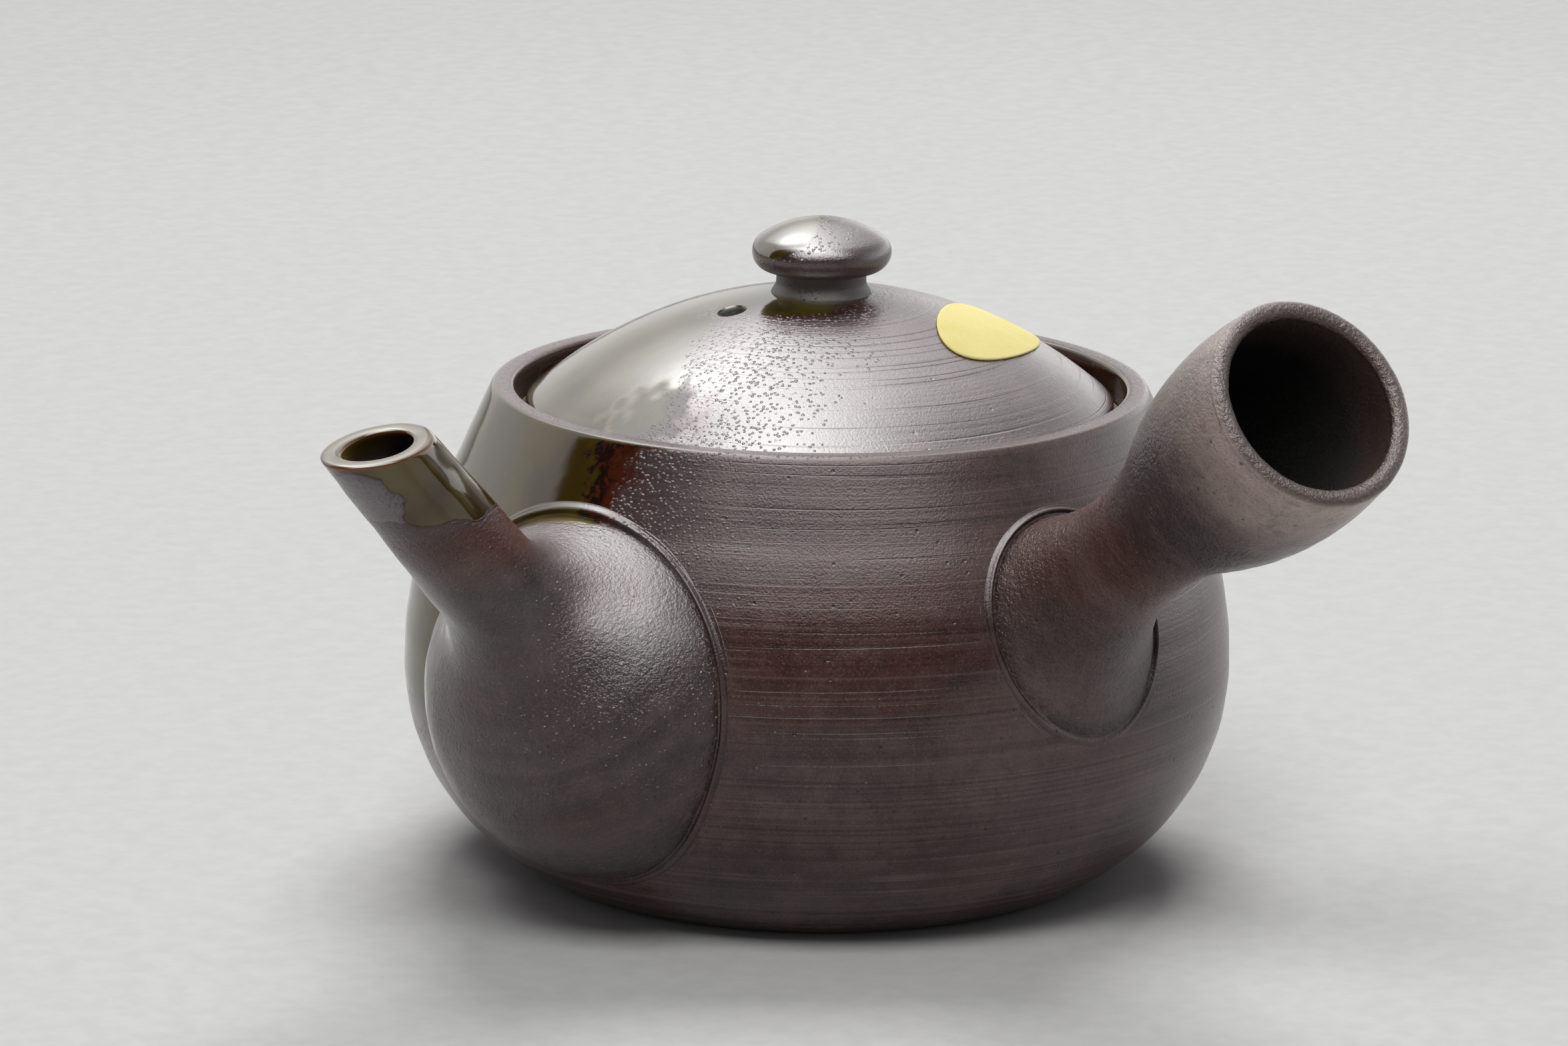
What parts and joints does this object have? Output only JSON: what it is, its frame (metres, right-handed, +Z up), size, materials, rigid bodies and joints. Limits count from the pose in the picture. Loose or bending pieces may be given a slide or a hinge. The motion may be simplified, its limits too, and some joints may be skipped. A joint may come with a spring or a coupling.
{
  "type": "kyusu teapot",
  "caption": "Round stoneware kyusu teapot with a bulbous spout, a hollow side handle, a pierced inner strainer and a domed lift-off lid with a button knob.",
  "frame": {"origin": "middle of the flat foot, on the pot's axis at table level", "axes": "+Z up along the pot's axis, +X towards the spout, +Y on the handle's side"},
  "size_m": [0.1545, 0.1668, 0.0958],
  "materials": {
    "body_clay": "matte unglazed stoneware with turning lines, ash glaze on one side",
    "spout_clay": "satin stoneware, glossy ash glaze at the tip",
    "slip_clay": "satin",
    "handle_clay": "matte unglazed stoneware",
    "lid_clay": "satin stoneware with turning lines, ash glaze on one side",
    "label_paper": "matte"
  },
  "bodies": {
    "pot": {"body": "body_clay", "spout": "spout_clay", "strainer": "body_clay", "spout_lute": "slip_clay", "handle": "handle_clay", "handle_lute": "slip_clay"},
    "lid": {"lid": "lid_clay", "knob": "lid_clay", "label": "label_paper"}
  },
  "joints": [
    {"name": "lid_lift", "type": "slide", "parent": "pot", "child": "lid", "axis": [0, 0, 1], "range_m": [0, 0.06]}
  ]
}
